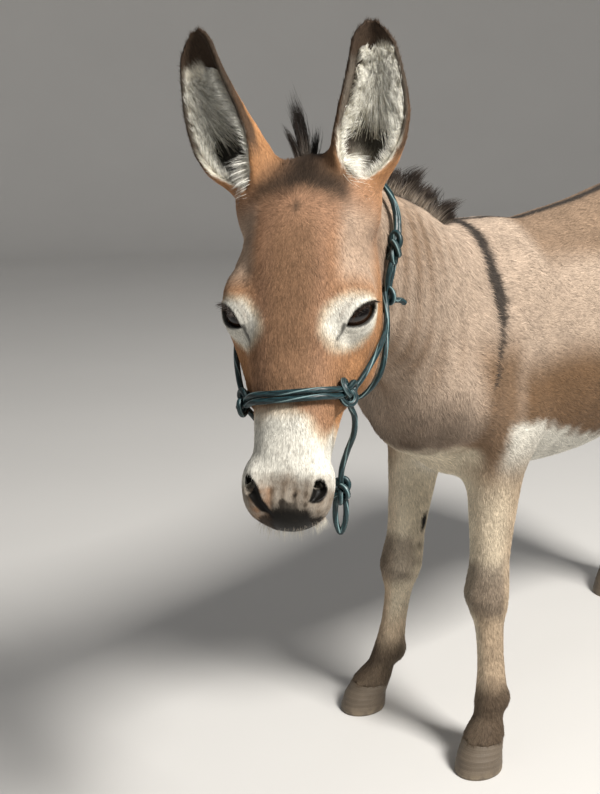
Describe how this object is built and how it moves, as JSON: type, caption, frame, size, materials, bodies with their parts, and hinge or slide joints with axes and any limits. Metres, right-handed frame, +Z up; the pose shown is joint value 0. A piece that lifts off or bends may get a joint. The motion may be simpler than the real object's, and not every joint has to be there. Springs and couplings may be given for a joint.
{
  "type": "donkey",
  "caption": "Small standing donkey with a shaggy grey-brown coat, pale muzzle, long ears, head lowered and turned to its left, wearing a rope halter.",
  "frame": {"origin": "on the ground, under the middle of the whole animal's bounding box", "axes": "+Z up, the trunk's front towards -Y, the animal's left towards +X"},
  "size_m": [0.4444, 1.5414, 1.2152],
  "materials": {
    "coat": "short shaggy grey-brown hair",
    "face": "short rusty-brown hair, pale muzzle and eye rings",
    "hair": "long dark-brown hair",
    "hoof": "dull grey-brown horn",
    "eye": "wet, glossy dark brown",
    "rope": "braided dark teal cord with pale flecks"
  },
  "bodies": {
    "root": {"trunk": "coat", "neck": "coat", "head": "face", "eye_left": "eye", "ear_left": "face", "foreleg_left": "coat", "hindleg_left": "coat", "hoof_fore_left": "hoof", "hoof_hind_left": "hoof", "eye_right": "eye", "ear_right": "face", "foreleg_right": "coat", "hindleg_right": "coat", "hoof_fore_right": "hoof", "hoof_hind_right": "hoof", "tail": "coat", "tail_switch": "hair", "mane": "hair", "forelock": "hair", "halter_noseband": "rope", "halter_crown": "rope", "halter_cheek_left": "rope", "halter_cheek_right": "rope", "halter_throat": "rope", "halter_chin": "rope"}
  },
  "joints": []
}
